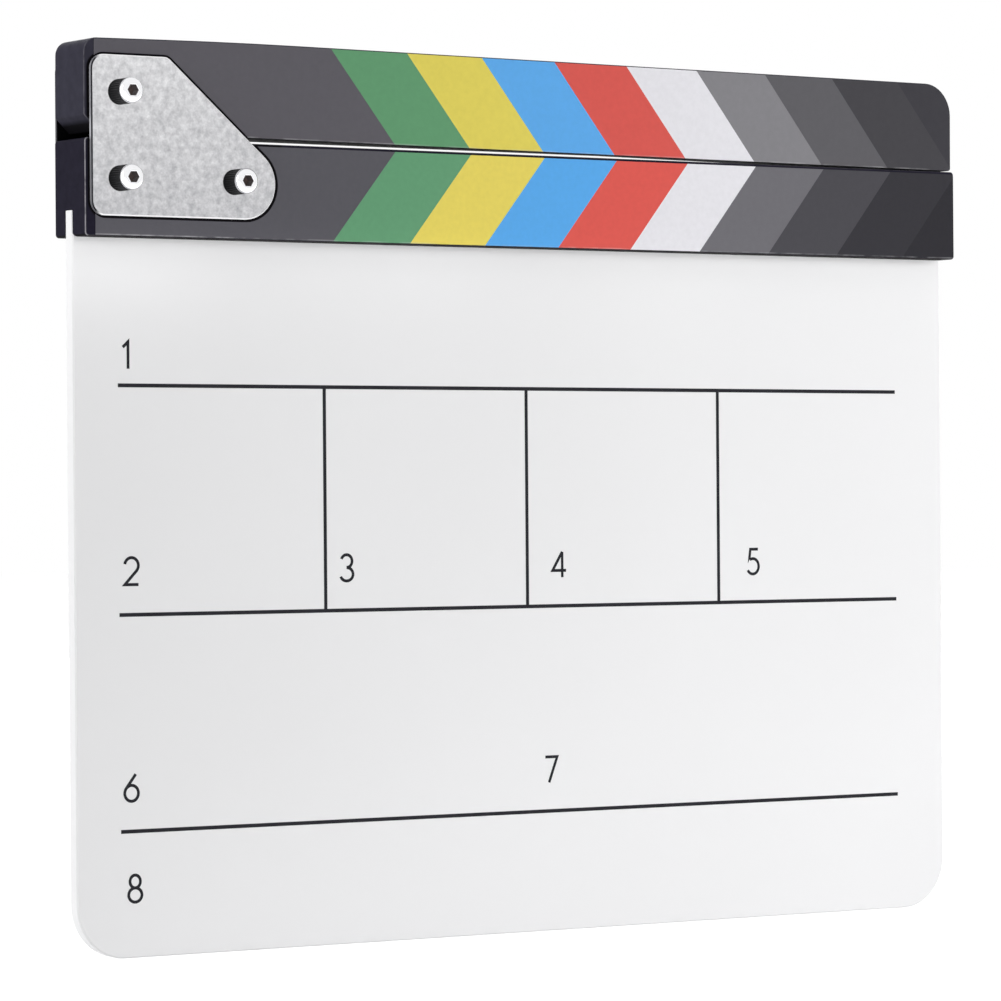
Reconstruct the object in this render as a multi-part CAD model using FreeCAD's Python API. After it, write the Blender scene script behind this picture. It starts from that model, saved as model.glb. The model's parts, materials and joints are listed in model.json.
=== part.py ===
"""Clapperboard: an acrylic writing board under a fixed clap stick, with a swinging stick hinged above it.

Millimetres. The origin is the middle of the board's bottom edge. +X runs to the free end of the sticks,
the front faces -Y, and +Z is up.
"""
import math
import os

import FreeCAD, Part
from FreeCAD import Vector

# Writing board
board_width = 300.0
board_height = 196.1          # from the bottom edge up to the lower stick
board_thickness = 4.0
board_corner_radius = 15.0
board_edge_bevel = 0.4

# Clap sticks
lower_stick_height = 26.5
upper_stick_height = 26.15
stick_depth = 16.8
stick_edge_bevel = 0.25
stick_corner_radius = 1.0
front_lip = 7.1               # wood in front of the board
slot_depth = 7.3
slot_clearance = 0.1
slot_lead_in = 0.9            # bevel on the front lip's inner edge
gap_at_pivot = 1.75           # between the closed sticks
gap_at_free_end = 0.3
underside_rise_at_hinge = 0.1 # of the upper stick's underside from front to back
underside_rise_at_crest = 1.0
underside_rise_at_free_end = 0.3
underside_crest_from_end = 180.0
cutter_margin = 1.0           # a cutting shape past the wood
free_end_setback = 0.8        # the upper stick stops this far short
upper_hinge_radius = 4.0      # top corner at the hinge
upper_fall_length = 46.0      # the top edge falls towards the hinge over this length
upper_fall = 0.95
upper_fall_radius = 2000.0    # where the fall begins
upper_free_radius = 9.5       # top corner at the free end
swing_clearance = 0.3         # lower hinge corner past the lower stick as it swings

# Printed labels
label_thickness = 0.15
label_start = 3.1             # from the hinge end of the stick
label_margin = 0.3            # from the other edges
lower_label_top_margin = 0.7
upper_label_bottom_margin = 0.1
label_plate_margin = 0.7      # bare paint round the hinge plate
label_plate_shift = 0.6       # the bare paint is wider towards the free end

# Hinge
pivot_from_end = 10.1
pivot_height = 10.7           # above the upper stick's underside
fixing_height = 8.3           # above the slot's roof
fixing_spacing = 35.8
running_gap = 0.35            # between the upper stick and each plate
plate_thickness = 1.2
plate_edge_bevel = 0.35
plate_cover_left = 8.6        # plate beyond the left screws
back_plate_cover_left = 9.4   # the back plate closes the gap between the sticks
plate_cover_top = 10.1        # plate above the pivot
plate_cover_bottom = 10.1     # plate below the fixing screws
plate_cover_right = 13.4      # plate beyond the right screw
plate_top_length = 23.9
plate_left_radius = 4.0
plate_shoulder_radius = 3.0
plate_nose_radius = 9.9

# Screws, nuts, washers and sleeve
screw_diameter = 4.0
screw_clearance = 0.1
head_diameter = 7.0
head_height = 7.8
head_edge_radius = 1.2
screw_tip_bevel = 0.35
socket_width = 3.0
socket_depth = 3.0
thread_clearance = 0.03
thread_end = 1.2              # thread past the nut
nut_width = 7.0
nut_height = 3.2
nut_bevel = 0.4
lock_collar_height = 1.6
lock_collar_diameter = 6.2
washer_diameter = 9.0
washer_thickness = 0.8
sleeve_wall = 1.0
sleeve_clearance = 0.05
shim_diameter = 12.0
shim_clearance = 0.05

# Magnets
magnet_diameter = 8.0
magnet_thickness = 3.0
magnet_bevel = 0.3
magnet_from_end = 15.0
magnet_clearance = 0.05
magnet_air_gap = 0.2

# Screws that hold the board in its slot
board_screw_count = 3
board_screw_diameter = 3.0
board_screw_head_diameter = 5.6
board_screw_head_height = 1.8
board_screw_head_bevel = 0.5
board_screw_bite = 4.5        # into the front lip
board_screw_drive_length = 3.4
board_screw_drive_width = 0.8
board_screw_drive_depth = 0.9

# Depths and heights that follow from the sizes above
tolerance = 1e-4
left_end = -board_width / 2
right_end = board_width / 2
board_front = -board_thickness / 2
board_back = board_thickness / 2
slot_front = board_front - slot_clearance
slot_back = board_back + slot_clearance
stick_front = slot_front - front_lip
stick_back = stick_front + stick_depth
stick_middle = (stick_front + stick_back) / 2
upper_front = stick_front + running_gap
upper_back = stick_back - running_gap
front_plate_face = stick_front - plate_thickness
back_plate_face = stick_back + plate_thickness
nut_face = back_plate_face + washer_thickness
lower_bottom = board_height
lower_top = lower_bottom + lower_stick_height
slot_roof = lower_bottom + slot_depth
upper_bottom = lower_top + gap_at_pivot
upper_top = upper_bottom + upper_stick_height
upper_right_end = right_end - free_end_setback

# Places of the hinge, its plate and its screws
pivot_x = left_end + pivot_from_end
pivot_z = upper_bottom + pivot_height
fixing_z = slot_roof + fixing_height
fixing_right_x = pivot_x + fixing_spacing
screw_places = {
    "pivot": (pivot_x, pivot_z),
    "left_fixing": (pivot_x, fixing_z),
    "right_fixing": (fixing_right_x, fixing_z),
}
plate_left = pivot_x - plate_cover_left
back_plate_left = pivot_x - back_plate_cover_left
plate_right = fixing_right_x + plate_cover_right
plate_top = pivot_z + plate_cover_top
plate_bottom = fixing_z - plate_cover_bottom
screw_hole_radius = screw_diameter / 2 + screw_clearance
sleeve_radius = screw_hole_radius + sleeve_wall
closed_slope = (gap_at_pivot - gap_at_free_end) / (right_end - pivot_x)

# Places of the magnets and the board's screws
magnet_x = right_end - magnet_from_end
magnet_proud = (gap_at_pivot - closed_slope * (magnet_x - pivot_x) - magnet_air_gap) / 2
lower_magnet_floor = lower_top + magnet_proud - magnet_thickness
upper_magnet_roof = upper_bottom - magnet_proud + magnet_thickness
board_screw_z = lower_bottom + slot_depth / 2
board_screw_step = (right_end - plate_right) / board_screw_count
board_screw_places = [plate_right + board_screw_step * (index + 0.5) for index in range(board_screw_count)]

along_x = Vector(1, 0, 0)
along_y = Vector(0, 1, 0)
along_z = Vector(0, 0, 1)


def outline(corners, y):
    """Closed wire in the plane at y through (x, z, radius) corners, with tangent arcs at the round ones."""
    points = [Vector(x, y, z) for x, z, radius in corners]
    entries, middles, exits = [], [], []
    for index, (x, z, radius) in enumerate(corners):
        here = points[index]
        back = (points[index - 1] - here).normalize()
        ahead = (points[(index + 1) % len(points)] - here).normalize()
        half_angle = back.getAngle(ahead) / 2
        reach = radius / math.tan(half_angle)
        inward = (back + ahead).normalize()
        entries.append(here + back * reach)
        middles.append(here + inward * (radius / math.sin(half_angle) - radius))
        exits.append(here + ahead * reach)
    edges = []
    for index, (x, z, radius) in enumerate(corners):
        if radius > 0:
            edges.append(Part.Arc(entries[index], middles[index], exits[index]).toShape())
        start = exits[index]
        end = entries[(index + 1) % len(corners)]
        if start.distanceToPoint(end) > tolerance:
            edges.append(Part.LineSegment(start, end).toShape())
    return Part.Wire(edges)


def slab(corners, front, back):
    """Solid with the outline through the corners, from the plane y = front to y = back."""
    return Part.Face(outline(corners, front)).extrude(along_y * (back - front))


def edges_at(shape, y):
    """Edges that lie in the plane at y."""
    def off_plane(box):
        return max(abs(box.YMin - y), abs(box.YMax - y))
    return [edge for edge in shape.Edges if off_plane(edge.BoundBox) < tolerance]


def bevelled(shape, bevel, *planes):
    """The shape with its edges in the given y planes bevelled."""
    return shape.makeChamfer(bevel, [edge for y in planes for edge in edges_at(shape, y)])


def rounded(shape, radius, plane):
    """The shape with its edges in the given y plane rounded."""
    return shape.makeFillet(radius, edges_at(shape, plane))


def rod(radius, x, z, front, back):
    """Cylinder along Y."""
    return Part.makeCylinder(radius, back - front, Vector(x, front, z), along_y)


def hexagon(width, x, z, front, back):
    """Hexagonal prism along Y, measured across its flats."""
    corner_radius = width / 2 / math.cos(math.pi / 6)
    turns = [math.radians(60 * step) for step in range(7)]
    points = [Vector(x + corner_radius * math.cos(a), front, z + corner_radius * math.sin(a)) for a in turns]
    return Part.Face(Part.makePolygon(points)).extrude(along_y * (back - front))


def closed(shape):
    """A piece of the upper stick, tilted about the pivot so that the sticks nearly meet at the free end."""
    return shape.rotated(Vector(pivot_x, 0, pivot_z), along_y, math.degrees(math.atan(closed_slope)))


def swing_bevel():
    """Bevel with which the upper stick's lower hinge corner swings past the lower stick."""
    reach = pivot_height + gap_at_pivot - swing_clearance
    along = pivot_from_end - math.sqrt(max(reach ** 2 - pivot_height ** 2, 0))
    upward = pivot_height - math.sqrt(max(reach ** 2 - pivot_from_end ** 2, 0))
    return max(along, upward)


def lower_stick_corners(inset=0.0, top_inset=0.0):
    radius = max(stick_corner_radius - inset, 0)
    return [(left_end + inset, lower_bottom + inset, radius),
            (right_end - inset, lower_bottom + inset, radius),
            (right_end - inset, lower_top - top_inset, radius),
            (left_end + inset, lower_top - top_inset, radius)]


def upper_stick_corners(inset=0.0, bottom_inset=0.0):
    radius = max(stick_corner_radius - inset, 0)
    bevel = swing_bevel() + inset * math.sqrt(2)
    return [(left_end + inset, upper_bottom + bevel - inset, radius),
            (left_end + bevel - bottom_inset, upper_bottom + bottom_inset, radius),
            (upper_right_end - inset, upper_bottom + bottom_inset, radius),
            (upper_right_end - inset, upper_top - inset, upper_free_radius - inset),
            (left_end + upper_fall_length, upper_top - inset, upper_fall_radius),
            (left_end + inset, upper_top - upper_fall - inset, upper_hinge_radius - inset)]


def plate_corners(left):
    """Hinge plate: upright at the hinge end, with a slope from its short top edge down to a round nose."""
    shoulder = Vector(plate_left + plate_top_length, 0, plate_top)
    nose = Vector(plate_right - plate_nose_radius, 0, plate_bottom + plate_nose_radius)
    to_nose = nose - shoulder
    slope = math.atan2(to_nose.z, to_nose.x) + math.asin(plate_nose_radius / to_nose.Length)
    tip_z = shoulder.z + (plate_right - shoulder.x) * math.tan(slope)
    return [(left, plate_bottom, plate_left_radius),
            (plate_right, plate_bottom, plate_nose_radius),
            (plate_right, tip_z, plate_nose_radius),
            (shoulder.x, shoulder.z, plate_shoulder_radius),
            (left, plate_top, plate_left_radius)]


def make_board():
    top = slot_roof - slot_clearance
    corners = [(left_end, 0, board_corner_radius), (right_end, 0, board_corner_radius),
               (right_end, top, 0), (left_end, top, 0)]
    board = bevelled(slab(corners, board_front, board_back), board_edge_bevel, board_front, board_back)
    hole_radius = board_screw_diameter / 2 + screw_clearance
    for x in board_screw_places:
        board = board.cut(rod(hole_radius, x, board_screw_z, board_front, board_back))
    return board


def slot_room():
    """The slot along the lower stick's underside, with a bevelled mouth at the front lip."""
    section = [(slot_front, slot_roof), (slot_back, slot_roof), (slot_back, lower_bottom),
               (slot_front - slot_lead_in, lower_bottom), (slot_front, lower_bottom + slot_lead_in)]
    points = [Vector(left_end, y, z) for y, z in section + section[:1]]
    return Part.Face(Part.makePolygon(points)).extrude(along_x * board_width)


def upright_disc(radius, bottom, top):
    """Cylinder along Z at the magnets' place."""
    return Part.makeCylinder(radius, top - bottom, Vector(magnet_x, stick_middle, bottom), along_z)


def make_magnet(bottom):
    disc = upright_disc(magnet_diameter / 2, bottom, bottom + magnet_thickness)
    rims = [edge for edge in disc.Edges if edge.BoundBox.ZLength < tolerance]
    return disc.makeChamfer(magnet_bevel, rims)


def make_lower_stick():
    stick = slab(lower_stick_corners(), stick_front, stick_back)
    stick = bevelled(stick, stick_edge_bevel, stick_front, stick_back).cut(slot_room())
    for name in ("left_fixing", "right_fixing"):
        stick = stick.cut(rod(screw_hole_radius, *screw_places[name], stick_front, stick_back))
    pilot_radius = board_screw_diameter / 2 + thread_clearance
    pilot_end = slot_front - board_screw_bite
    for x in board_screw_places:
        stick = stick.cut(rod(pilot_radius, x, board_screw_z, pilot_end, stick_back))
    return stick.cut(upright_disc(magnet_diameter / 2 + magnet_clearance, lower_magnet_floor, lower_top))


def underside_wedge():
    """What is planed off the upper stick's underside, more towards the back and most at the crest."""
    stations = [(left_end, underside_rise_at_hinge),
                (left_end + underside_crest_from_end, underside_rise_at_crest),
                (right_end, underside_rise_at_free_end)]
    front = upper_front - cutter_margin
    back = upper_back + cutter_margin
    floor = upper_bottom - cutter_margin
    wires = []
    for x, rise in stations:
        past = rise * cutter_margin / (upper_back - upper_front)
        section = [(front, floor), (back, floor), (back, upper_bottom + rise + past), (front, upper_bottom - past)]
        wires.append(Part.makePolygon([Vector(x, y, z) for y, z in section + section[:1]]))
    return Part.makeLoft(wires, True, True)


def make_upper_stick():
    stick = slab(upper_stick_corners(), upper_front, upper_back)
    stick = bevelled(stick, stick_edge_bevel, upper_front, upper_back).cut(underside_wedge())
    stick = stick.cut(rod(sleeve_radius + sleeve_clearance, pivot_x, pivot_z, upper_front, upper_back))
    stick = stick.cut(upright_disc(magnet_diameter / 2 + magnet_clearance, upper_bottom, upper_magnet_roof))
    return closed(stick)


def make_label(corners, face):
    """Printed strip on a stick's front face, set back from its edges and from the hinge end."""
    front = face - label_thickness
    bare_end = Part.makeBox(label_start, label_thickness, upper_top, Vector(left_end, front, 0))
    return slab(corners, front, face).cut(bare_end)


def plate_clearing(face):
    """Room in a label for the hinge plate and the bare paint round it."""
    front = face - label_thickness
    wire = outline(plate_corners(plate_left), front).makeOffset2D(label_plate_margin)
    wire.translate(Vector(label_plate_shift, 0, 0))
    return Part.Face(wire).extrude(along_y * label_thickness)


def make_lower_label():
    corners = lower_stick_corners(label_margin, lower_label_top_margin)
    return make_label(corners, stick_front).cut(plate_clearing(stick_front))


def make_upper_label():
    corners = upper_stick_corners(label_margin, upper_label_bottom_margin)
    label = closed(make_label(corners, upper_front))
    return label.cut(plate_clearing(upper_front))


def make_plate(left, front, back, outer_face):
    plate = bevelled(slab(plate_corners(left), front, back), plate_edge_bevel, outer_face)
    for x, z in screw_places.values():
        plate = plate.cut(rod(screw_hole_radius, x, z, front, back))
    return plate


def ring(outer_radius, inner_radius, x, z, front, back):
    return rod(outer_radius, x, z, front, back).cut(rod(inner_radius, x, z, front, back))


def make_shim(front, back):
    return ring(shim_diameter / 2, sleeve_radius + shim_clearance, pivot_x, pivot_z, front, back)


def nut_end(name):
    """Where a screw's nut ends: the pivot has a lock nut with a collar."""
    return nut_face + nut_height + (lock_collar_height if name == "pivot" else 0)


def make_screw(name, x, z):
    """Socket head screw from the front, through both plates to its nut."""
    head_top = front_plate_face - head_height
    tip = nut_end(name) + thread_end
    head = rounded(rod(head_diameter / 2, x, z, head_top, front_plate_face), head_edge_radius, head_top)
    shank = bevelled(rod(screw_diameter / 2, x, z, front_plate_face, tip), screw_tip_bevel, tip)
    return head.fuse(shank).cut(hexagon(socket_width, x, z, head_top, head_top + socket_depth))


def make_nut(name, x, z):
    """Hexagon nut with its corners turned off, and a round collar on the pivot's lock nut."""
    flat_end = nut_face + nut_height
    corner_radius = nut_width / 2 / math.cos(math.pi / 6)
    turned = bevelled(rod(corner_radius, x, z, nut_face, flat_end), nut_bevel, nut_face, flat_end)
    nut = hexagon(nut_width, x, z, nut_face, flat_end).common(turned)
    if name == "pivot":
        collar = rod(lock_collar_diameter / 2, x, z, flat_end, nut_end(name))
        nut = nut.fuse(bevelled(collar, nut_bevel, nut_end(name)))
    return nut.cut(rod(screw_diameter / 2 + thread_clearance, x, z, nut_face, nut_end(name)))


def make_board_screw(x):
    """Round head screw from the back, through the board into the front lip, with a cross drive."""
    z = board_screw_z
    head_top = stick_back + board_screw_head_height
    head = rod(board_screw_head_diameter / 2, x, z, stick_back, head_top)
    screw = bevelled(head, board_screw_head_bevel, head_top)
    screw = screw.fuse(rod(board_screw_diameter / 2, x, z, slot_front - board_screw_bite, stick_back))
    drive_floor = head_top - board_screw_drive_depth
    sides = (board_screw_drive_length, board_screw_drive_width)
    for width, height in (sides, sides[::-1]):
        corner = Vector(x - width / 2, drive_floor, z - height / 2)
        screw = screw.cut(Part.makeBox(width, board_screw_drive_depth, height, corner))
    return screw


nodes = {
    "slate_board": make_board(),
    "lower_stick": make_lower_stick(),
    "upper_stick": make_upper_stick(),
    "lower_stick_label": make_lower_label(),
    "upper_stick_label": make_upper_label(),
    "front_hinge_plate": make_plate(plate_left, front_plate_face, stick_front, front_plate_face),
    "back_hinge_plate": make_plate(back_plate_left, stick_back, back_plate_face, back_plate_face),
    "pivot_sleeve": ring(sleeve_radius, screw_hole_radius, pivot_x, pivot_z, stick_front, stick_back),
    "front_pivot_shim": make_shim(stick_front, upper_front - shim_clearance),
    "back_pivot_shim": make_shim(upper_back + shim_clearance, stick_back),
    "lower_magnet": make_magnet(lower_magnet_floor),
    "upper_magnet": closed(make_magnet(upper_magnet_roof - magnet_thickness)),
    "board_screws": Part.makeCompound([make_board_screw(x) for x in board_screw_places]),
}
for name, (x, z) in screw_places.items():
    nodes[name + "_screw"] = make_screw(name, x, z)
    nodes[name + "_washer"] = ring(washer_diameter / 2, screw_hole_radius, x, z, back_plate_face, nut_face)
    nodes[name + "_nut"] = make_nut(name, x, z)

os.makedirs("parts", exist_ok=True)
for name, shape in nodes.items():
    if not shape.isValid():
        raise ValueError(name + " is not a valid solid")
    print(f"{name}: {len(shape.Solids)} solid, {shape.Volume:.1f} mm3")
    shape.exportStep(f"parts/{name}.step")
print(f"pivot at X {pivot_x:.3f}, Z {pivot_z:.3f}")
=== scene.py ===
"""Looks of the clapperboard: finishes, stripes, field rules and numbers, detailed screws, studio, camera.

Metres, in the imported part's own frame: +X to the free end of the sticks, -Y out of the written face, +Z up.
"""
import json
import math

import bmesh
import bpy
from mathutils import Matrix, Vector
from mathutils.geometry import delaunay_2d_cdt


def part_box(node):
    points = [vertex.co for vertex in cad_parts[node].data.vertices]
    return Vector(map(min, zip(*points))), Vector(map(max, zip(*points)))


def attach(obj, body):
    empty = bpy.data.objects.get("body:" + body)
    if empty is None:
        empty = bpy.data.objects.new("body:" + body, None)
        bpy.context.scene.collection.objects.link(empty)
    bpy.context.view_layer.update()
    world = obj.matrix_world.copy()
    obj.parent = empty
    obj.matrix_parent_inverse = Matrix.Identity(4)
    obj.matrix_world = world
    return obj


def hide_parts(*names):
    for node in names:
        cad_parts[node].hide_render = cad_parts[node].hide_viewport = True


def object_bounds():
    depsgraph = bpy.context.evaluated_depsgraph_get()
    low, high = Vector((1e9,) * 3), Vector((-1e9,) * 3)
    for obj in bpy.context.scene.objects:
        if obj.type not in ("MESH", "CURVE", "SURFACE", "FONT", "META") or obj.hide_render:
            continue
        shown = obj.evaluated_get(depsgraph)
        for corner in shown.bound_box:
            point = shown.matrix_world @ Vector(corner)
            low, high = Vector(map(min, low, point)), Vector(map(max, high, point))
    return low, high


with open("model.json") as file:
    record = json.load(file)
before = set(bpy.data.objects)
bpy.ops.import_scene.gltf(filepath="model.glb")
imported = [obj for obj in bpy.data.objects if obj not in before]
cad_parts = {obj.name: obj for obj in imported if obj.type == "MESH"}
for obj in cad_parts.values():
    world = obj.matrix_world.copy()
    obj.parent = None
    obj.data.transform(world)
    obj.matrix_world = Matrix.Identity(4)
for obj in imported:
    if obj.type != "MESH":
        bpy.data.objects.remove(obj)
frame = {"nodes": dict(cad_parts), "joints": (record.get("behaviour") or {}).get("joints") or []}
cad_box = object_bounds()
mm = 0.001

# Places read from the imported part
board_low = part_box("slate_board")[0]
lower_label_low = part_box("lower_stick_label")[0]
plate_low, plate_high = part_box("front_hinge_plate")
pivot = Vector(frame["joints"][0]["pos_m"])
hinge_end = board_low.x
written_face = board_low.y

# The closed upper stick leans down towards its free end
closed_drop = 1.45 * mm
closed_span = 289.9 * mm
closed_slope = closed_drop / closed_span
upper_label_bottom = 224.45 * mm      # at the pivot's X
upper_label_top = 250.2 * mm
# Top of the painted shade on downward faces, on the bevel under the upper stick's hinge end
painted_shade_top = 227.6 * mm          # on the bevel under the upper stick's hinge end
plate_left_radius = 4.0 * mm

# Borders of the stripes in millimetres from the hinge end, at each stick's outer edge
upper_borders = (78.4, 103.5, 128.7, 153.7, 179.0, 204.0, 229.0, 253.9, 278.8)
lower_borders = (78.5, 103.9, 129.2, 154.4, 179.7, 204.5, 229.6, 254.9, 280.0)
stripe_lean = 0.81                    # along the stick for each step across it
weld_distance = 1e-7

# Printed fields on the board
rule_left = -136.3 * mm
rule_right = 132.4 * mm
rule_heights = (156.0 * mm, 93.5 * mm, 34.5 * mm)
rule_width = 1.05 * mm
divider_first = -70.35 * mm
divider_spacing = 68.1 * mm
divider_count = 3
ink_thickness = 0.04 * mm
print_tolerance = 1e-4                # millimetres
number_height = 8.2 * mm
number_stroke = 0.85 * mm
arc_step = 7.5                        # degrees
fewest_arc_steps = 8
sharpest_mitre = 0.4                  # share of a stroke's width that a corner keeps
number_places = {
    1: (-135.1 * mm, 160.1 * mm),
    2: (-135.0 * mm, 101.3 * mm),
    3: (-65.8 * mm, 101.3 * mm),
    4: (6.1 * mm, 101.3 * mm),
    5: (76.1 * mm, 101.3 * mm),
    6: (-135.5 * mm, 42.3 * mm),
    7: (3.1 * mm, 42.3 * mm),
    8: (-134.5 * mm, 14.8 * mm),
}

# Camera of the photograph
camera_place = Vector((-792.93 * mm, -1170.08 * mm, 121.90 * mm))
camera_yaw = math.radians(33.7877)
camera_pitch = math.radians(0.0851)
camera_roll = math.radians(0.43)
camera_lens = 176.646                 # millimetres, on a sensor 36 wide


def srgb(red, green, blue):
    """Linear colour of a screen colour given in 0 to 255."""
    def linear(value):
        share = value / 255
        return share / 12.92 if share <= 0.04045 else ((share + 0.055) / 1.055) ** 2.4
    return (linear(red), linear(green), linear(blue), 1.0)


def shaded(colour, share):
    """A linear colour made lighter or darker by a share of itself."""
    return (*[min(channel * (1 + share), 1.0) for channel in colour[:3]], 1.0)


class Finish:
    """A material being built from nodes round one Principled shader."""

    def __init__(self, name, **values):
        self.material = bpy.data.materials.new(name)
        self.material.use_nodes = True
        self.tree = self.material.node_tree
        self.shader = self.tree.nodes["Principled BSDF"]
        for socket, value in values.items():
            self.set(socket.replace("_", " "), value)
        coordinates = self.add("ShaderNodeTexCoord")
        self.place = coordinates.outputs["Object"]
        self.normal = coordinates.outputs["Normal"]

    def put(self, socket, value):
        """Links a socket to an output, or gives it a plain value."""
        if isinstance(value, bpy.types.NodeSocket):
            self.tree.links.new(value, socket)
        else:
            socket.default_value = value

    def set(self, socket, value):
        self.put(self.shader.inputs[socket], value)

    def add(self, kind, inputs=None, **settings):
        """A new node with its settings and inputs."""
        node = self.tree.nodes.new(kind)
        for key, value in settings.items():
            setattr(node, key, value)
        for socket, value in (inputs or {}).items():
            self.put(node.inputs[socket], value)
        return node

    def noise(self, size, detail=2.0, stretch=(1, 1, 1)):
        """Noise between 0 and 1 whose marks are about the given size, longer along a stretched axis."""
        scale = [1 / (size * factor) for factor in stretch]
        placed = self.add("ShaderNodeMapping", {"Vector": self.place, "Scale": scale})
        inputs = {"Vector": placed.outputs["Vector"], "Scale": 1.0, "Detail": detail}
        return self.add("ShaderNodeTexNoise", inputs).outputs["Fac"]

    def span(self, value, start, end, low=0.0, high=1.0):
        """The value's stretch from start to end, laid on low to high and held at both."""
        inputs = {"Value": value, "From Min": start, "From Max": end, "To Min": low, "To Max": high}
        return self.add("ShaderNodeMapRange", inputs).outputs["Result"]

    def maths(self, operation, first, second=0.0):
        node = self.add("ShaderNodeMath", operation=operation)
        self.put(node.inputs[0], first)
        self.put(node.inputs[1], second)
        return node.outputs["Value"]

    def mix(self, factor, first, second):
        node = self.add("ShaderNodeMix", data_type="RGBA")
        self.put(node.inputs["Factor"], factor)
        self.put(node.inputs[6], first)
        self.put(node.inputs[7], second)
        return node.outputs[2]

    def varied(self, colour, share, size, detail=2.0, stretch=(1, 1, 1)):
        """The colour, lighter and darker by a share in marks of the given size."""
        marks = self.span(self.noise(size, detail, stretch), 0.3, 0.7)
        return self.mix(marks, shaded(colour, -share), shaded(colour, share))

    def axis(self, vector, name):
        return self.add("ShaderNodeSeparateXYZ", {"Vector": vector}).outputs[name]

    def beyond(self, along, height, low, high, radius):
        """Distance outside an upright box with rounded corners, seen from the front."""
        squares = []
        for value, start, end in ((along, low.x, high.x), (height, low.z, high.z)):
            straight = (end - start) / 2 - radius
            from_middle = self.maths("ABSOLUTE", self.maths("SUBTRACT", value, (start + end) / 2))
            over = self.maths("MAXIMUM", self.maths("SUBTRACT", from_middle, straight), 0.0)
            squares.append(self.maths("MULTIPLY", over, over))
        return self.maths("SUBTRACT", self.maths("SQRT", self.maths("ADD", *squares)), radius)

    def bump(self, height, distance, strength=1.0):
        inputs = {"Height": height, "Distance": distance, "Strength": strength}
        self.set("Normal", self.add("ShaderNodeBump", inputs).outputs["Normal"])

    def worn_edges(self, width):
        """1 along the sharp edges of the mesh and 0 on its flats."""
        rounded = self.add("ShaderNodeBevel", {"Radius": width}, samples=8).outputs["Normal"]
        flat = self.add("ShaderNodeNewGeometry").outputs["Normal"]
        node = self.add("ShaderNodeVectorMath", operation="DOT_PRODUCT")
        self.put(node.inputs[0], rounded)
        self.put(node.inputs[1], flat)
        return self.span(node.outputs["Value"], 0.995, 0.85)


def white_acrylic():
    """Opaque white sheet: a faint cloud in the tone, a wiped haze in the gloss, sawn edges painted paler as
    painted light carried through the sheet.
    """
    finish = Finish("white_acrylic", IOR=1.49)
    white = srgb(241, 241, 242)
    sheet = finish.varied(white, 0.008, 90 * mm, 0.0)
    facing = finish.maths("ABSOLUTE", finish.axis(finish.normal, "Y"))
    # Edge faces get a paler colour: painted light standing in for light carried through the acrylic to its
    # edges.
    finish.set("Base Color", finish.mix(finish.span(facing, 0.2, 0.9), srgb(251, 251, 252), sheet))
    haze = finish.noise(30 * mm, 2.0, (3, 1, 1))
    finish.set("Roughness", finish.span(haze, 0.0, 1.0, 0.3, 0.4))
    return finish.material


def black_painted_wood(name, colour, wear_and_highlight):
    """Satin black paint, with painted shade underneath, a painted shadow round the hinge plate, and ends
    rubbed paler that also carry a painted highlight.
    """
    finish = Finish("black_painted_wood_" + name, Specular_IOR_Level=0.02)
    paint = finish.varied(colour, 0.12, 3 * mm, 4.0, (5, 1, 1))
    facing = finish.maths("ABSOLUTE", finish.axis(finish.normal, "Y"))
    along = finish.axis(finish.place, "X")
    height = finish.axis(finish.place, "Z")
    room = Vector((2 * mm, 0, 0))         # under the labels, to the free end
    # Painted shadow: front faces near the hinge plate's outline are painted near black, standing for the
    # plate's contact shadow.
    from_plate = finish.beyond(along, height, plate_low, plate_high + room, plate_left_radius)
    near_plate = finish.span(from_plate, 0.8 * mm, 0.55 * mm)
    # Painted shade: faces turned downward are painted near black, on the upper stick's hinge end only below
    # its bevel's top.
    below = finish.maths("MULTIPLY", finish.axis(finish.normal, "Z"), -1.0)
    in_front = finish.span(finish.axis(finish.normal, "Y"), -0.8, -0.95)
    painted_plate_shadow = finish.maths("MULTIPLY", in_front, near_plate)
    under = finish.maths("MULTIPLY", finish.span(below, 0.25, 0.65),
                         finish.span(height, painted_shade_top, painted_shade_top - 1.2 * mm))
    shade = finish.maths("MAXIMUM", painted_plate_shadow, under)
    paint = finish.mix(shade, paint, srgb(18, 17, 20))
    # Paler paint on the end bevels: rubbed paint, and also a painted highlight along those edges, stronger on
    # the lower stick.
    from_middle = finish.maths("ABSOLUTE", along)
    at_ends = finish.span(from_middle, -hinge_end - 1.2 * mm, -hinge_end - 0.5 * mm, 0.08, wear_and_highlight)
    on_bevel = finish.maths("MULTIPLY", finish.span(facing, 0.45, 0.6), finish.span(facing, 0.9, 0.8))
    spots = finish.span(finish.noise(2.5 * mm, 3.0), 0.15, 0.55)
    worn_and_highlit = finish.maths("MULTIPLY", on_bevel, finish.maths("MULTIPLY", spots, at_ends))
    finish.set("Base Color", finish.mix(worn_and_highlit, paint, srgb(176, 174, 180)))
    finish.set("Roughness", finish.span(finish.noise(2 * mm, 3.0), 0.2, 0.8, 0.5, 0.66))
    finish.bump(finish.noise(0.7 * mm, 3.0, (40, 1, 1)), 0.03 * mm, 0.4)
    return finish.material


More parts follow.
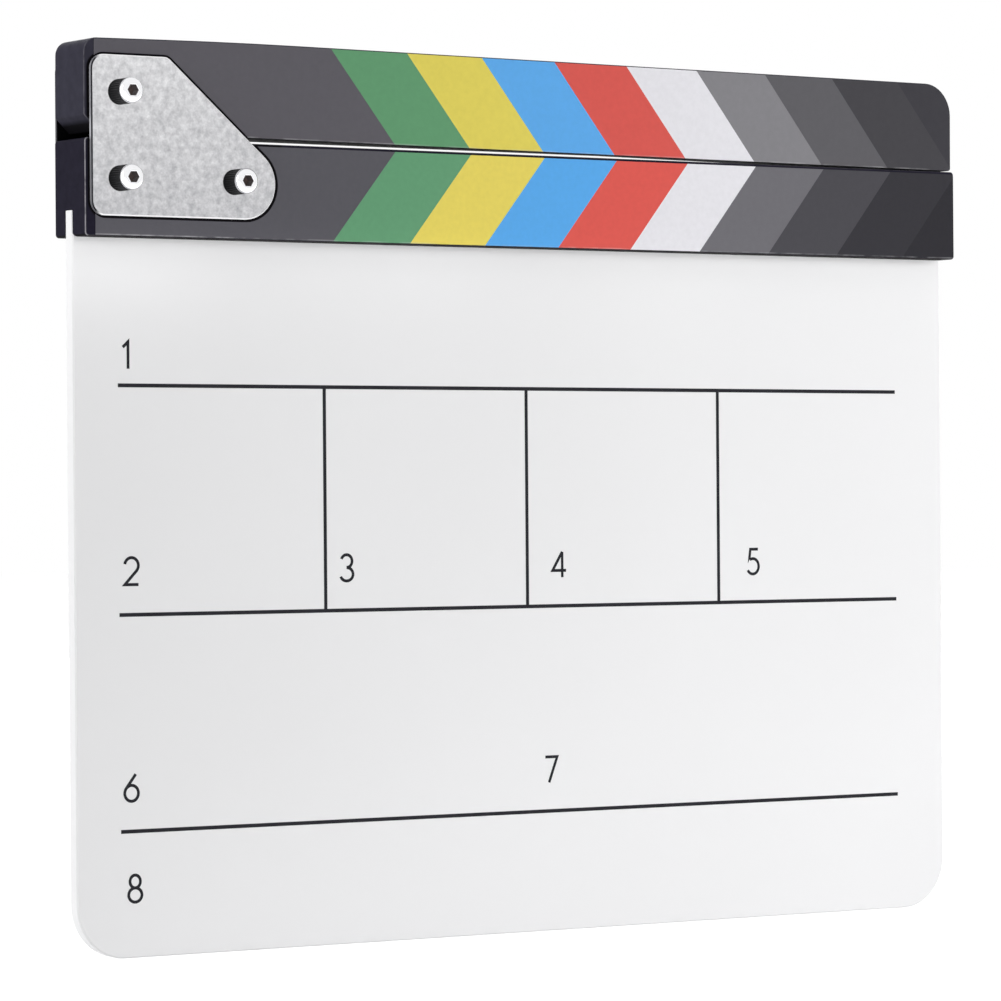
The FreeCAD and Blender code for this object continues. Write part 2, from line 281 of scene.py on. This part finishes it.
def printed_vinyl(name, colour):
    """Matt printed film: slight ink mottle, fine peel, and a paler line at the labels' lower edges, partly
    rubbed film and partly a painted highlight.
    """
    finish = Finish("vinyl_" + name, Specular_IOR_Level=0.15)
    ink = finish.varied(colour, 0.025, 1.6 * mm, 5.0)
    height = finish.axis(finish.place, "Z")
    along = finish.axis(finish.place, "X")
    lean = finish.maths("MULTIPLY", finish.maths("SUBTRACT", along, pivot.x), closed_slope)
    untilted = finish.maths("ADD", height, lean)
    above_lower = finish.maths("ABSOLUTE", finish.maths("SUBTRACT", height, lower_label_low.z))
    above_upper = finish.maths("ABSOLUTE", finish.maths("SUBTRACT", untilted, upper_label_bottom))
    near_edge = finish.span(finish.maths("MINIMUM", above_lower, above_upper), 0.45 * mm, 0.2 * mm)
    by_hinge = finish.span(along, hinge_end + 65 * mm, hinge_end + 40 * mm, 0.25, 0.5)
    rubbed = finish.span(finish.noise(6 * mm, 4.0), 0.4, 0.62)
    # Paler line along the lower edges: rubbed film, and also a painted highlight on those edges.
    bared_and_highlit = finish.maths("MULTIPLY", near_edge, finish.maths("MULTIPLY", rubbed, by_hinge))
    finish.set("Base Color", finish.mix(bared_and_highlit, ink, srgb(205, 205, 208)))
    finish.set("Roughness", finish.span(finish.noise(1.2 * mm, 3.0), 0.2, 0.8, 0.45, 0.6))
    finish.bump(finish.noise(0.5 * mm), 0.012 * mm, 0.4)
    return finish.material


def zinc_plate(name, outward, dull, bright, side):
    """Tumbled zinc plating: mottle from dull to bright, painted lighter towards the top, bevels painted pale
    as highlights but dark at the hinge end, and the face towards the sticks painted dark as shade.
    """
    finish = Finish("zinc_plated_" + name, Metallic=1.0)
    clouds = finish.span(finish.noise(2.0 * mm, 4.0), 0.3, 0.7)
    grain = finish.span(finish.noise(0.6 * mm, 3.0), 0.25, 0.75)
    # Painted light: the face is painted brighter towards the top of the plate.
    painted_light_rise = finish.span(finish.axis(finish.place, "Z"), plate_low.z, plate_high.z)
    mottle = finish.maths("MULTIPLY", clouds, 0.45)
    for marks, share in ((grain, 0.3), (painted_light_rise, 0.25)):
        mottle = finish.maths("ADD", mottle, finish.maths("MULTIPLY", marks, share))
    outer = finish.maths("MULTIPLY", finish.axis(finish.normal, "Y"), outward)
    # Painted highlight and painted shade on the bevels: pale where they face away from the hinge end, dark
    # where they face it.
    to_hinge_end = finish.maths("MULTIPLY", finish.axis(finish.normal, "X"), -1.0)
    painted_rim = finish.mix(finish.span(to_hinge_end, 0.2, 0.5), srgb(246, 246, 247), srgb(44, 44, 48))
    edge = finish.mix(finish.span(outer, 0.25, 0.45), side, painted_rim)
    # Painted shade: the face turned towards the sticks is painted near black.
    edge = finish.mix(finish.span(outer, -0.45, -0.85), edge, srgb(20, 20, 22))
    face = finish.mix(mottle, dull, bright)
    finish.set("Base Color", finish.mix(finish.span(outer, 0.85, 0.95), edge, face))
    finish.set("Roughness", finish.span(mottle, 0.1, 0.9, 0.55, 0.7))
    finish.bump(grain, 0.02 * mm, 0.3)
    return finish.material


def polished_plating():
    """Bright plating with a little haze."""
    finish = Finish("bright_chrome", Metallic=1.0)
    finish.set("Base Color", finish.varied(srgb(244, 244, 246), 0.02, 1.5 * mm))
    finish.set("Roughness", finish.span(finish.noise(0.8 * mm, 3.0), 0.3, 0.7, 0.08, 0.18))
    return finish.material


def knurl_painted_dark():
    """Knurled flank of a screw head, painted near black as a painted dark reflection on its plating."""
    finish = Finish("knurl_painted_dark", Specular_IOR_Level=0.06)
    finish.set("Base Color", finish.varied(srgb(15, 15, 17), 0.4, 0.8 * mm, 3.0))
    finish.set("Roughness", finish.span(finish.noise(0.5 * mm, 3.0), 0.3, 0.7, 0.35, 0.5))
    return finish.material


def socket_grime_and_shade():
    """Inside of a hexagon socket, dark with old grease and with painted shade of the recess."""
    finish = Finish("socket_grime_and_shade", Metallic=0.6)
    finish.set("Base Color", finish.varied(srgb(58, 46, 44), 0.35, 0.6 * mm, 3.0))
    finish.set("Roughness", finish.span(finish.noise(0.4 * mm, 3.0), 0.3, 0.7, 0.3, 0.55))
    return finish.material


def turned_steel():
    """Plain machined steel with fine marks."""
    finish = Finish("turned_steel", Metallic=1.0)
    finish.set("Base Color", finish.varied(srgb(196, 196, 199), 0.1, 0.6 * mm, 3.0))
    finish.set("Roughness", finish.span(finish.noise(0.5 * mm, 3.0), 0.3, 0.7, 0.29, 0.44))
    finish.bump(finish.noise(0.25 * mm), 0.01 * mm, 0.3)
    return finish.material


def black_oxide():
    """Blackened steel, rubbed brighter on its edges."""
    finish = Finish("black_oxide_steel", Metallic=0.8)
    black = finish.varied(srgb(48, 48, 52), 0.2, 0.8 * mm, 3.0)
    finish.set("Base Color", finish.mix(finish.worn_edges(0.15 * mm), black, srgb(120, 120, 124)))
    finish.set("Roughness", finish.span(finish.noise(0.5 * mm, 3.0), 0.3, 0.7, 0.3, 0.48))
    return finish.material


def nickel_plate():
    """Warm bright plating with fine rub marks."""
    finish = Finish("nickel_plate", Metallic=1.0)
    finish.set("Base Color", finish.varied(srgb(222, 218, 210), 0.06, 0.9 * mm, 3.0))
    finish.set("Roughness", finish.span(finish.noise(0.4 * mm, 3.0, (8, 1, 1)), 0.3, 0.7, 0.14, 0.26))
    return finish.material


def nylon():
    """Natural nylon, slightly translucent."""
    finish = Finish("nylon", Subsurface_Weight=0.15, Subsurface_Scale=0.5 * mm)
    finish.set("Base Color", finish.varied(srgb(228, 226, 218), 0.05, 1.5 * mm))
    finish.set("Roughness", finish.span(finish.noise(0.8 * mm), 0.3, 0.7, 0.42, 0.55))
    return finish.material


def printing_ink():
    """Screen-printed black, a little uneven in tone and gloss."""
    finish = Finish("printing_ink", Specular_IOR_Level=0.15)
    finish.set("Base Color", finish.varied(srgb(30, 30, 35), 0.2, 5 * mm, 4.0))
    finish.set("Roughness", finish.span(finish.noise(1.5 * mm, 3.0), 0.3, 0.7, 0.4, 0.55))
    return finish.material


def new_piece(name, mesh, body, slot, *finishes):
    """An object of the part that rides on a body, with its finishes in its material slots."""
    for finish in finishes:
        mesh.materials.append(finish)
    piece = bpy.data.objects.new(name, mesh)
    bpy.context.scene.collection.objects.link(piece)
    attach(piece, body)
    return piece


def mesh_from(shape, name):
    """A mesh with its faces turned outward."""
    bmesh.ops.recalc_face_normals(shape, faces=shape.faces)
    mesh = bpy.data.meshes.new(name)
    shape.to_mesh(mesh)
    shape.free()
    return mesh


def striped_label(name, node, body, outer_edge, inward, slope, distances, finishes):
    """A label cut along its slanted stripes, with a finish for each stripe, in place of the plain node."""
    shape = bmesh.new()
    shape.from_mesh(frame["nodes"][node].data)
    bmesh.ops.remove_doubles(shape, verts=shape.verts, dist=weld_distance)
    tilt = Matrix.Rotation(math.atan(slope), 3, "Y")
    normal = tilt @ Vector((1, 0, -inward * stripe_lean)).normalized()
    borders = []
    for distance in distances:
        start = Vector((hinge_end + distance * mm, 0, outer_edge))
        borders.append(pivot + tilt @ (start - pivot))
    for border in borders:
        geometry = shape.verts[:] + shape.edges[:] + shape.faces[:]
        bmesh.ops.bisect_plane(shape, geom=geometry, dist=weld_distance, plane_co=border, plane_no=normal)
    for face in shape.faces:
        middle = face.calc_center_median()
        face.material_index = sum((middle - border).dot(normal) > 0 for border in borders)
        face.smooth = False
    piece = new_piece(name, mesh_from(shape, name), body, "printed_vinyl", *finishes)
    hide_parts(node)


def printed(name, outlines, finish):
    """Closed outlines on the board's written face, joined into one thin raised print."""
    points, faces = [], []
    for outline in outlines:
        faces.append(list(range(len(points), len(points) + len(outline))))
        points.extend(Vector((x, z)) / mm for x, z in outline)
    flat, _, triangles, _, _, sources = delaunay_2d_cdt(points, [], faces, 1, print_tolerance)
    shape = bmesh.new()
    back = [shape.verts.new((x * mm, written_face, z * mm)) for x, z in flat]
    front = [shape.verts.new((x * mm, written_face - ink_thickness, z * mm)) for x, z in flat]
    sides = {}
    for corners, source in zip(triangles, sources):
        if source:
            shape.faces.new([front[corner] for corner in corners])
            shape.faces.new([back[corner] for corner in reversed(corners)])
            for pair in zip(corners, corners[1:] + corners[:1]):
                sides[pair] = True
    for first, second in sides:
        if (second, first) not in sides:
            shape.faces.new([front[second], front[first], back[first], back[second]])
    loose = [corner for corner in shape.verts if not corner.link_faces]
    bmesh.ops.delete(shape, geom=loose, context="VERTS")
    new_piece(name, mesh_from(shape, name), "slate", "white_acrylic", finish)


def bar(left, right, bottom, top):
    """Corners of a straight bar on the board."""
    return [(left, bottom), (right, bottom), (right, top), (left, top)]


def field_rules():
    """Three long rules, with dividers between the first two."""
    half = rule_width / 2
    bars = [bar(rule_left, rule_right, height - half, height + half) for height in rule_heights]
    for index in range(divider_count):
        middle = divider_first + index * divider_spacing
        bars.append(bar(middle - half, middle + half, rule_heights[1], rule_heights[0]))
    return bars


def arc(middle, radii, start, end):
    """Points of an elliptical arc between two angles in degrees."""
    steps = max(fewest_arc_steps, round(abs(end - start) / arc_step))
    angles = [math.radians(start + (end - start) * step / steps) for step in range(steps + 1)]
    return [(middle[0] + radii[0] * math.cos(a), middle[1] + radii[1] * math.sin(a)) for a in angles]


# Strokes of the plain numbers, in heights of a number, from the lower left
number_strokes = {
    1: [[(0.0, 0.8), (0.22, 1.0), (0.22, 0.0)]],
    2: [arc((0.29, 0.71), (0.29, 0.29), 170, -45) + [(0.0, 0.0), (0.58, 0.0)]],
    3: [arc((0.27, 0.755), (0.245, 0.245), 160, -90), arc((0.27, 0.255), (0.285, 0.255), 90, -160)],
    4: [[(0.46, 0.0), (0.46, 1.0)], [(0.46, 1.0), (0.0, 0.27), (0.64, 0.27)]],
    5: [[(0.52, 1.0), (0.14, 1.0)] + arc((0.26, 0.31), (0.29, 0.31), 128, -150)],
    6: [[(0.47, 1.0)] + arc((0.29, 0.295), (0.29, 0.295), 142, 502)],
    7: [[(0.0, 1.0), (0.56, 1.0), (0.17, 0.0)]],
    8: [arc((0.28, 0.7625), (0.22, 0.2375), 90, 450), arc((0.28, 0.2625), (0.28, 0.2625), 90, 450)],
}


def stroke_quads(points, width):
    """A line of points widened into four-sided outlines that share their corners."""
    points = [Vector(point) for point in points]
    runs = [(second - first).normalized() for first, second in zip(points, points[1:])]
    lefts, rights = [], []
    for index, point in enumerate(points):
        before = runs[max(index - 1, 0)].orthogonal()
        after = runs[min(index, len(runs) - 1)].orthogonal()
        across = (before + after).normalized()
        reach = width / 2 / max(across.dot(after), sharpest_mitre)
        lefts.append(point + across * reach)
        rights.append(point - across * reach)
    return [[rights[i], rights[i + 1], lefts[i + 1], lefts[i]] for i in range(len(runs))]


def field_number(number):
    """Outlines of a plain number in its place on the board."""
    left, bottom = [place + number_stroke / 2 for place in number_places[number]]
    size = number_height - number_stroke
    quads = []
    for stroke in number_strokes[number]:
        placed = [(left + x * size, bottom + z * size) for x, z in stroke]
        quads.extend(stroke_quads(placed, number_stroke))
    return quads


# Screw heads and threads
knurl_count = 30
knurl_depth = 0.16 * mm
head_foot = 0.6 * mm                  # plain below the knurl
head_rim = 0.3 * mm                   # polished above it
head_edge_radius = 1.2 * mm
head_edge_steps = 5
screw_tip_bevel = 0.35 * mm
socket_width = 3.0 * mm
socket_depth = 3.0 * mm
socket_point = 0.5 * mm
socket_bevel = 0.12 * mm
screw_radius = 2.0 * mm
thread_pitch = 0.7 * mm
thread_depth = 0.25 * mm
thread_rings = 6                      # to each turn
crease_angle = math.radians(28)
screw_sides = 4 * knurl_count


def triangle_wave(turns):
    """From 0 to 1 and back over each whole turn."""
    return 1 - abs(2 * (turns % 1.0) - 1)


def screw_rings(name):
    """Rings of a socket head screw, tip to socket floor: (y, radius at each side, finish index)."""
    low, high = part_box(name + "_screw")
    head_radius = (high.x - low.x) / 2
    nut_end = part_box(name + "_nut")[1].y
    shares = [side / screw_sides for side in range(screw_sides)]
    hexagon = [socket_width / 2 / math.cos((share * 6 % 1 - 0.5) * math.pi / 3) for share in shares]

    def even(radius):
        return [radius] * screw_sides

    def thread(y):
        return [screw_radius - thread_depth * triangle_wave(share + y / thread_pitch) for share in shares]

    knurl = [head_radius - knurl_depth * triangle_wave(share * knurl_count) for share in shares]
    # The flank's finish is painted near black as a painted dark reflection.
    chrome, dark, grime_and_shade, steel = range(4)
    rim_start = low.y + head_edge_radius + head_rim
    thread_start = nut_end - thread_pitch
    thread_length = high.y - screw_tip_bevel - thread_start
    steps = math.ceil(thread_length / (thread_pitch / thread_rings))
    threaded = [thread_start + thread_length * (1 - step / steps) for step in range(steps + 1)]
    rings = [(high.y, even(screw_radius - screw_tip_bevel), steel)]
    rings += [(y, thread(y), steel) for y in threaded]
    rings += [(thread_start - thread_pitch, even(screw_radius), steel),
              (plate_low.y, even(screw_radius), steel),
              (plate_low.y, even(head_radius), dark),
              (plate_low.y - head_foot, even(head_radius), dark),
              (plate_low.y - head_foot - knurl_depth, knurl, dark),
              (rim_start + knurl_depth, knurl, dark),
              (rim_start, even(head_radius), dark),
              (low.y + head_edge_radius, even(head_radius), chrome)]
    for step in range(1, head_edge_steps + 1):
        turn = math.pi / 2 * step / head_edge_steps
        radius = head_radius - head_edge_radius * (1 - math.cos(turn))
        rings.append((low.y + head_edge_radius * (1 - math.sin(turn)), even(radius), chrome))
    rings += [(low.y, [radius + socket_bevel for radius in hexagon], chrome),
              (low.y + socket_bevel, hexagon, chrome),
              # The socket's inside is painted dark: old grease, and painted shade of the recess.
              (low.y + socket_depth, hexagon, grime_and_shade)]
    return rings, low.y + socket_depth + socket_point


def detailed_screw(name, finishes):
    """Screw with a knurled head, a hexagon socket and a thread past its nut, in place of the plain node."""
    node = name + "_screw"
    low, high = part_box(node)
    middle = (low + high) / 2
    rings, floor = screw_rings(name)
    turns = [2 * math.pi * side / screw_sides for side in range(screw_sides)]
    shape = bmesh.new()
    loops = []
    for y, radii, finish in rings:
        places = [(middle.x + r * math.cos(a), y, middle.z + r * math.sin(a)) for r, a in zip(radii, turns)]
        loops.append([shape.verts.new(place) for place in places])
    for loop, ahead, ring in zip(loops, loops[1:], rings[1:]):
        for side in range(screw_sides):
            after = (side + 1) % screw_sides
            face = shape.faces.new([loop[side], loop[after], ahead[after], ahead[side]])
            face.material_index = ring[2]
    shape.faces.new(loops[0]).material_index = rings[0][2]
    centre = shape.verts.new((middle.x, floor, middle.z))
    for side in range(screw_sides):
        face = shape.faces.new([loops[-1][side], loops[-1][(side + 1) % screw_sides], centre])
        face.material_index = rings[-1][2]
    for face in shape.faces:
        face.smooth = True
    mesh = mesh_from(shape, node + "_detail")
    mesh.set_sharp_from_angle(angle=crease_angle)
    piece = new_piece(node + "_detail", mesh, "slate", "bright_chrome", *finishes)
    piece.visible_glossy = False
    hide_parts(node)


def finish_node(name, finish):
    """Gives a shape that comes straight from the part its finish."""
    node = frame["nodes"][name]
    node.data.materials.clear()
    node.data.materials.append(finish)


# The part's own shapes
steel = turned_steel()
nickel = nickel_plate()
plastic = nylon()
finish_node("slate_board", white_acrylic())
finish_node("board_screws", black_oxide())
# The lower stick's paint is set darker than the upper's, as painted shade on the lower stick; the last value
# sets how much paler its end bevels are painted, partly a painted highlight.
finish_node("lower_stick", black_painted_wood("lower", srgb(35, 33, 45), 0.7))
finish_node("upper_stick", black_painted_wood("upper", srgb(57, 56, 67), 0.2))
front_zinc = zinc_plate("front", -1, srgb(156, 156, 160), srgb(234, 234, 235), srgb(160, 160, 165))
# The back plate's zinc, side walls included, is set darker than the front's: painted shade on the back plate.
back_zinc = zinc_plate("back", 1, srgb(128, 128, 133), srgb(164, 164, 168), srgb(70, 70, 74))
finish_node("front_hinge_plate", front_zinc)
finish_node("back_hinge_plate", back_zinc)
for magnet in ("lower_magnet", "upper_magnet"):
    finish_node(magnet, nickel)
for shim in ("front_pivot_shim", "back_pivot_shim"):
    finish_node(shim, plastic)
finish_node("pivot_sleeve", steel)
screw_finishes = (polished_plating(), knurl_painted_dark(), socket_grime_and_shade(), steel)
for screw in ("pivot", "left_fixing", "right_fixing"):
    finish_node(screw + "_washer", steel)
    finish_node(screw + "_nut", steel)
    detailed_screw(screw, screw_finishes)

# Stripes, rules and numbers
# Each stripe has an upper and a lower colour; the lower stick's greys are set darker than the upper's, as
# painted shade on the lower stick.
stripe_colours = {
    "black": (srgb(95, 93, 99), srgb(90, 89, 95)),
    "green": (srgb(100, 156, 114), srgb(102, 159, 119)),
    "yellow": (srgb(229, 214, 98), srgb(235, 217, 102)),
    "blue": (srgb(98, 174, 239), srgb(93, 173, 240)),
    "red": (srgb(218, 92, 85), srgb(224, 93, 85)),
    "white": (srgb(233, 232, 237), srgb(234, 233, 238)),
    "grey": (srgb(133, 132, 136), srgb(110, 109, 114)),
    "dark_grey": (srgb(93, 92, 96), srgb(71, 70, 75)),
    "darker_grey": (srgb(65, 64, 68), srgb(48, 47, 52)),
    "darkest_grey": (srgb(57, 56, 61), srgb(39, 38, 43)),
}
upper_stripes = [printed_vinyl("upper_" + name, colours[0]) for name, colours in stripe_colours.items()]
lower_stripes = [printed_vinyl("lower_" + name, colours[1]) for name, colours in stripe_colours.items()]
striped_label("lower_stick_stripes", "lower_stick_label", "slate", lower_label_low.z, 1, 0.0,
              lower_borders, lower_stripes)
striped_label("upper_stick_stripes", "upper_stick_label", "clap_arm", upper_label_top, -1, closed_slope,
              upper_borders, upper_stripes)
ink = printing_ink()
printed("field_rules", field_rules(), ink)
for number in number_places:
    printed(f"field_number_{number}", field_number(number), ink)

# Studio
floor_radius = 8.0
floor_sides = 96
floor_drop = 0.05 * mm
ambient_light = 0.2
floor_tone = 0.8
floor_glow = 1 - floor_tone * ambient_light


def seen_directly(tree):
    """1 for rays from the camera, off metal or through glass, and 0 for the light that falls on things."""
    path = tree.nodes.new("ShaderNodeLightPath")
    seen = path.outputs["Is Camera Ray"]
    for kind in ("Is Glossy Ray", "Is Transmission Ray"):
        either = tree.nodes.new("ShaderNodeMath")
        either.operation = "MAXIMUM"
        tree.links.new(seen, either.inputs[0])
        tree.links.new(path.outputs[kind], either.inputs[1])
        seen = either.outputs["Value"]
    return seen


def white_surroundings():
    """White where it is seen, and a soft even light on the object."""
    world = bpy.data.worlds.new("studio")
    world.use_nodes = True
    tree = world.node_tree
    light = tree.nodes["Background"]
    light.inputs["Color"].default_value = (1, 1, 1, 1)
    light.inputs["Strength"].default_value = ambient_light
    white = tree.nodes.new("ShaderNodeBackground")
    white.inputs["Color"].default_value = (1, 1, 1, 1)
    white.inputs["Strength"].default_value = 1.0
    either = tree.nodes.new("ShaderNodeMixShader")
    tree.links.new(seen_directly(tree), either.inputs["Fac"])
    tree.links.new(light.outputs["Background"], either.inputs[1])
    tree.links.new(white.outputs["Background"], either.inputs[2])
    tree.links.new(either.outputs["Shader"], tree.nodes["World Output"].inputs["Surface"])
    bpy.context.scene.world = world


def white_floor():
    """Plain pale floor that keeps the object's shadow and otherwise meets the white background."""
    shape = bmesh.new()
    bmesh.ops.create_circle(shape, cap_ends=True, radius=floor_radius, segments=floor_sides)
    floor = bpy.data.objects.new("floor", mesh_from(shape, "floor"))
    floor.location.z = -floor_drop
    bpy.context.scene.collection.objects.link(floor)
    material = bpy.data.materials.new("white_floor")
    material.use_nodes = True
    tree = material.node_tree
    tree.nodes.remove(tree.nodes["Principled BSDF"])
    matt = tree.nodes.new("ShaderNodeBsdfDiffuse")
    matt.inputs["Color"].default_value = (floor_tone, floor_tone, floor_tone, 1)
    glow = tree.nodes.new("ShaderNodeEmission")
    tree.links.new(seen_directly(tree), glow.inputs["Strength"])
    glow.inputs["Color"].default_value = (floor_glow, floor_glow, floor_glow, 1)
    both = tree.nodes.new("ShaderNodeAddShader")
    tree.links.new(matt.outputs["BSDF"], both.inputs[0])
    tree.links.new(glow.outputs["Emission"], both.inputs[1])
    tree.links.new(both.outputs["Shader"], tree.nodes["Material Output"].inputs["Surface"])
    floor.data.materials.append(material)


def softbox(name, place, target, width, height, power, mirrored=True):
    """Soft lamp aimed at a target, not seen by the camera, nor in metal unless mirrored."""
    lamp = bpy.data.lights.new(name, "AREA")
    lamp.shape = "RECTANGLE"
    lamp.size = width
    lamp.size_y = height
    lamp.energy = power
    lamp_object = bpy.data.objects.new(name, lamp)
    lamp_object.location = place
    aim = target - Vector(place)
    lamp_object.rotation_euler = aim.to_track_quat("-Z", "Y").to_euler()
    lamp_object.visible_camera = False
    lamp_object.visible_glossy = mirrored
    bpy.context.scene.collection.objects.link(lamp_object)


def photograph_camera():
    """Camera at the photograph's place and angle."""
    ahead = Vector((math.sin(camera_yaw) * math.cos(camera_pitch),
                    math.cos(camera_yaw) * math.cos(camera_pitch),
                    math.sin(camera_pitch)))
    level = Vector((math.cos(camera_yaw), -math.sin(camera_yaw), 0))
    below = ahead.cross(level)
    right = math.cos(camera_roll) * level + math.sin(camera_roll) * below
    down = math.cos(camera_roll) * below - math.sin(camera_roll) * level
    data = bpy.data.cameras.new("camera")
    data.lens = camera_lens
    camera = bpy.data.objects.new("camera", data)
    turn = Matrix((right, -down, -ahead)).transposed()
    camera.matrix_world = Matrix.Translation(camera_place) @ turn.to_4x4()
    bpy.context.scene.collection.objects.link(camera)
    bpy.context.scene.camera = camera


white_surroundings()
white_floor()

# Lamps, with sizes in metres and power in watts
object_middle = (cad_box[0] + cad_box[1]) / 2
board_foot = Vector((object_middle.x, 0, 0.006))
softbox("key", (0.6, -0.78, 0.2), object_middle, 0.8, 0.5, 6.15, mirrored=False)
softbox("front", (0.1, -1.8, 0.12), object_middle, 1.0, 0.4, 3.7, mirrored=False)
softbox("low", (0.0, -0.09, 0.012), board_foot, 0.36, 0.016, 0.014, mirrored=False)
softbox("side", (-2.4, 0.1, 0.9), object_middle, 1.6, 1.6, 38)
softbox("back", (0.9, 2.2, 1.0), object_middle, 1.8, 1.8, 26)

# A row of faint lamps under the stick, strongest past the hinge end
lip_start = hinge_end - 0.05
lip_width = 0.09
lip_powers = (0.0016, 0.0008, 0.0004, 0.0002)
for step, power in enumerate(lip_powers):
    along = lip_start + (step + 0.5) * lip_width
    under_stick = Vector((along, written_face, 0.186))
    softbox(f"lip_{step}", (along, -0.018, 0.19), under_stick, lip_width, 0.004, power, mirrored=False)
photograph_camera()
bpy.context.scene.view_settings.view_transform = "Standard"


def corners(box):
    return [list(corner) for corner in box]
